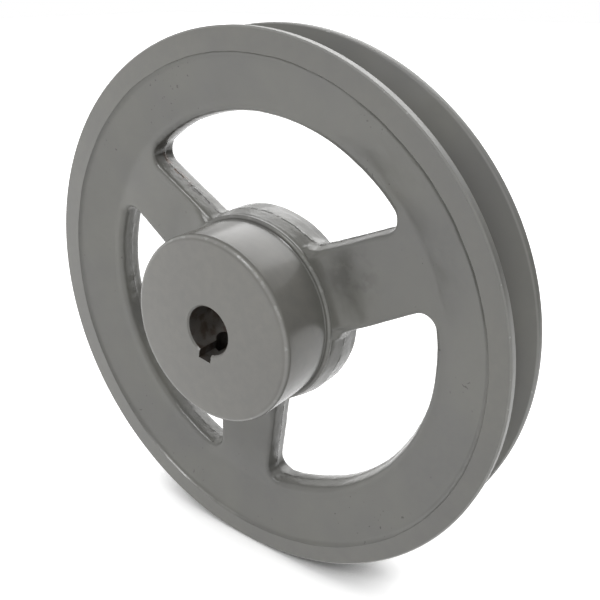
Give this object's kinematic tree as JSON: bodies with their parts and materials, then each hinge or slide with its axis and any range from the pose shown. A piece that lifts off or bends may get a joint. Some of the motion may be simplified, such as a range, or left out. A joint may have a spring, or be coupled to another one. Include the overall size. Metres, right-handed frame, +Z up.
{
  "type": "v-groove pulley",
  "caption": "Cast spoked pulley with one V-groove for a belt, a turned hub with a keyed bore for a shaft, and a set screw over the key.",
  "frame": {"origin": "on the shaft axis, in the middle plane of the belt groove", "axes": "the shaft axis is Y and the hub faces -Y; +Z is up, and the keyway is 8.9 degrees from straight down, towards -X"},
  "size_m": [0.176, 0.0393, 0.176],
  "materials": {
    "painted_iron": "satin grey paint",
    "dark_steel": "black oxide"
  },
  "bodies": {
    "wheel": {"pulley": "painted_iron"},
    "screw": {"set_screw": "dark_steel"}
  },
  "joints": [
    {"name": "screw_travel", "type": "slide", "parent": "wheel", "child": "screw", "axis": [0.1547, 0, 0.988], "range_m": [-0.008, 0.0018]}
  ]
}
